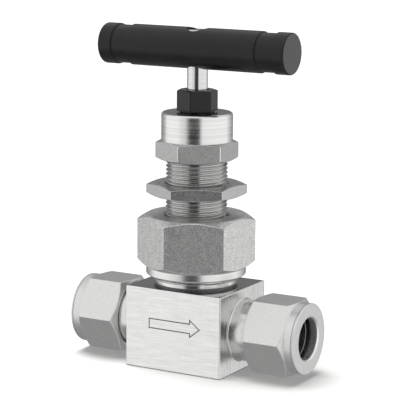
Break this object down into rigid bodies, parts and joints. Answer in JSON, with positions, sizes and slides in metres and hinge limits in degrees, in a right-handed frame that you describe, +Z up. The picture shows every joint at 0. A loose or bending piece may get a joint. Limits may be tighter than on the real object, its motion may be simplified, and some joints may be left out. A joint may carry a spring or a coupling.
{
  "type": "needle valve",
  "caption": "Union-bonnet needle valve with tube-fitting ends, panel nut and bar handle, for shutting off or regulating flow in small-bore tubing.",
  "frame": {"origin": "centre of the block's underside", "axes": "+Z up the stem, +X along the flow from inlet to outlet"},
  "size_m": [0.0788, 0.0366, 0.1047],
  "materials": {
    "brushed_steel": "brushed along the block",
    "satin_steel": "satin, finely drawn",
    "polished_steel": "fine turned and polished",
    "ferrule_steel": "fine turned",
    "black_coated_steel": "black dry-film coating, satin",
    "black_anodised": "black anodised, satin",
    "black_screw_steel": "black oxide",
    "packing": "moulded PTFE"
  },
  "bodies": {
    "valve": {"valve_body": "brushed_steel", "union_nut": "satin_steel", "bonnet": "satin_steel", "bonnet_cap": "polished_steel", "packing_bolt": "black_coated_steel", "lower_packing_support": "polished_steel", "packing_ring_1": "packing", "packing_ring_2": "packing", "packing_ring_3": "packing", "upper_packing_support": "polished_steel", "packing_gland": "polished_steel"},
    "needle": {"lower_stem": "polished_steel"},
    "handle": {"upper_stem": "polished_steel", "handle_bar": "black_anodised", "handle_set_screw": "black_screw_steel"},
    "panel_nut": {"panel_nut": "satin_steel"},
    "inlet_ferrules": {"inlet_front_ferrule": "ferrule_steel", "inlet_back_ferrule": "ferrule_steel"},
    "inlet_nut": {"inlet_nut": "satin_steel"},
    "outlet_ferrules": {"outlet_front_ferrule": "ferrule_steel", "outlet_back_ferrule": "ferrule_steel"},
    "outlet_nut": {"outlet_nut": "satin_steel"}
  },
  "joints": [
    {"name": "needle_lift", "type": "slide", "parent": "valve", "child": "needle", "axis": [0, 0, 1], "range_m": [0, 0.00529]},
    {"name": "handle_turn", "type": "hinge", "parent": "needle", "child": "handle", "pos_m": [0, 0, 0.0984], "axis": [0, 0, 1], "range_deg": [0, 1800]},
    {"name": "panel_nut_travel", "type": "slide", "parent": "valve", "child": "panel_nut", "axis": [0, 0, 1], "range_m": [-0.0057, 0.007]},
    {"name": "inlet_ferrule_travel", "type": "slide", "parent": "valve", "child": "inlet_ferrules", "axis": [-1, 0, 0], "range_m": [-0.00159, 0.00636]},
    {"name": "inlet_nut_turn", "type": "hinge", "parent": "inlet_ferrules", "child": "inlet_nut", "pos_m": [0, 0, 0.0127], "axis": [-1, 0, 0], "range_deg": [-450, 1800]},
    {"name": "outlet_ferrule_travel", "type": "slide", "parent": "valve", "child": "outlet_ferrules", "axis": [1, 0, 0], "range_m": [-0.00159, 0.00636]},
    {"name": "outlet_nut_turn", "type": "hinge", "parent": "outlet_ferrules", "child": "outlet_nut", "pos_m": [0, 0, 0.0127], "axis": [1, 0, 0], "range_deg": [-450, 1800]}
  ],
  "couplings": [
    {"joint": "handle_turn", "follows": "needle_lift", "rad_per_m": 5936.9},
    {"joint": "inlet_ferrule_travel", "follows": "inlet_nut_turn", "m_per_rad": 0.00020213},
    {"joint": "outlet_ferrule_travel", "follows": "outlet_nut_turn", "m_per_rad": 0.00020213}
  ]
}
